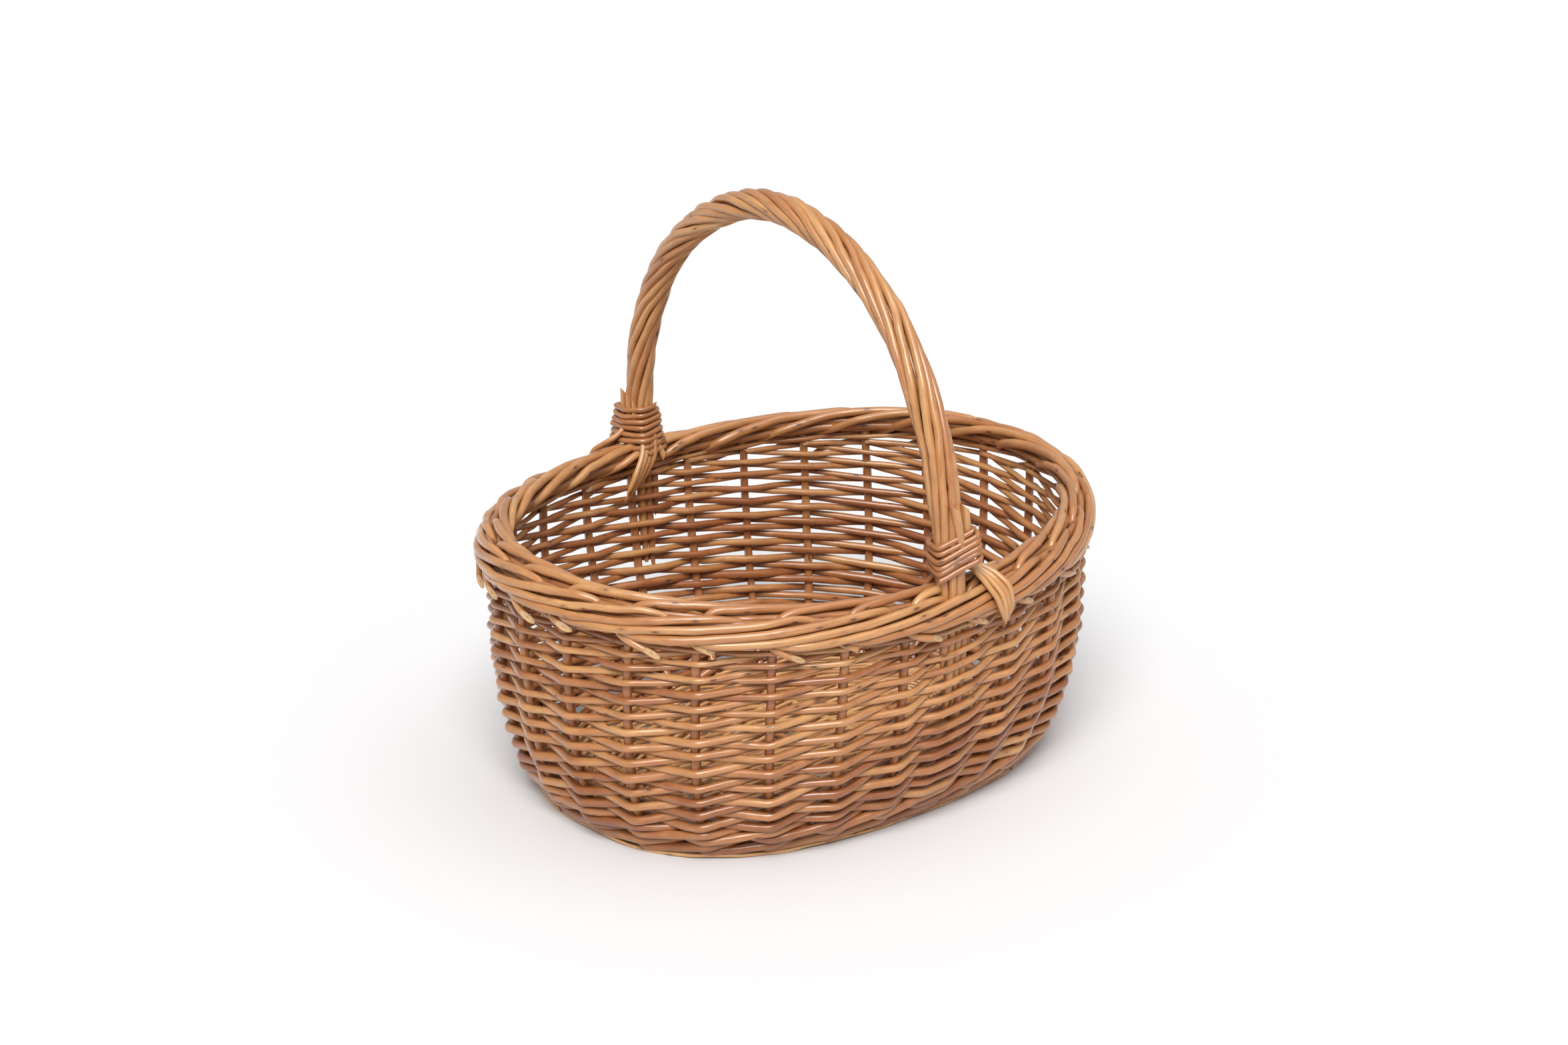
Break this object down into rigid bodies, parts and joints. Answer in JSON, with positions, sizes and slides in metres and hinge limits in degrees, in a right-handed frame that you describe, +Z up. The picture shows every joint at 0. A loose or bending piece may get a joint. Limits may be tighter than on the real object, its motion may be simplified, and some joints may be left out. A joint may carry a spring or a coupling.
{
  "type": "woven market basket",
  "caption": "Oval willow market basket with a bowl-shaped woven side, a thick rolled border and one fixed, wrapped bow handle across its width.",
  "frame": {"origin": "centre of the bounding box in plan, on the ground that the basket stands on", "axes": "+X along the length of the oval, +Y from the front side to the back side under the handle, +Z up"},
  "size_m": [0.452, 0.3788, 0.401],
  "materials": {
    "willow_stake": "satin steamed willow, brown",
    "willow_weave": "satin steamed willow, tan to reddish brown",
    "willow_border": "satin steamed willow, tan to reddish brown",
    "willow_handle": "satin steamed willow, golden tan",
    "willow_binding": "satin steamed willow, dark reddish brown",
    "willow_base": "satin steamed willow, tan"
  },
  "bodies": {
    "root": {"base_long_stick_1": "willow_base", "base_long_stick_2": "willow_base", "base_long_stick_3": "willow_base", "base_short_stick_1": "willow_base", "base_short_stick_2": "willow_base", "base_short_stick_3": "willow_base", "base_short_stick_4": "willow_base", "base_short_stick_5": "willow_base", "base_weave_ring_1": "willow_base", "base_weave_ring_2": "willow_base", "base_weave_ring_3": "willow_base", "side_stake_01": "willow_stake", "side_stake_02": "willow_stake", "side_stake_03": "willow_stake", "side_stake_04": "willow_stake", "side_stake_05": "willow_stake", "side_stake_06": "willow_stake", "side_stake_07": "willow_stake", "side_stake_08": "willow_stake", "side_stake_09": "willow_stake", "side_stake_10": "willow_stake", "side_stake_11": "willow_stake", "side_stake_12": "willow_stake", "side_stake_13": "willow_stake", "side_stake_14": "willow_stake", "side_stake_15": "willow_stake", "side_stake_16": "willow_stake", "side_stake_17": "willow_stake", "side_stake_18": "willow_stake", "side_stake_19": "willow_stake", "side_stake_20": "willow_stake", "side_stake_21": "willow_stake", "side_stake_22": "willow_stake", "side_stake_23": "willow_stake", "side_stake_24": "willow_stake", "side_stake_25": "willow_stake", "side_stake_26": "willow_stake", "upsett_waling": "willow_weave", "side_weave_01": "willow_weave", "side_weave_02": "willow_weave", "side_weave_03": "willow_weave", "side_weave_04": "willow_weave", "side_weave_05": "willow_weave", "side_weave_06": "willow_weave", "side_weave_07": "willow_weave", "side_weave_08": "willow_weave", "side_weave_09": "willow_weave", "side_weave_10": "willow_weave", "top_waling": "willow_weave", "rolled_border": "willow_border", "handle_bow": "willow_handle", "handle_wrapping": "willow_handle", "front_lap": "willow_binding", "back_lap": "willow_binding", "front_handle_liner": "willow_stake", "front_outer_tuck": "willow_handle", "front_inner_tuck": "willow_handle", "back_handle_liner": "willow_stake", "back_outer_tuck": "willow_handle", "back_inner_tuck": "willow_handle"}
  },
  "joints": []
}
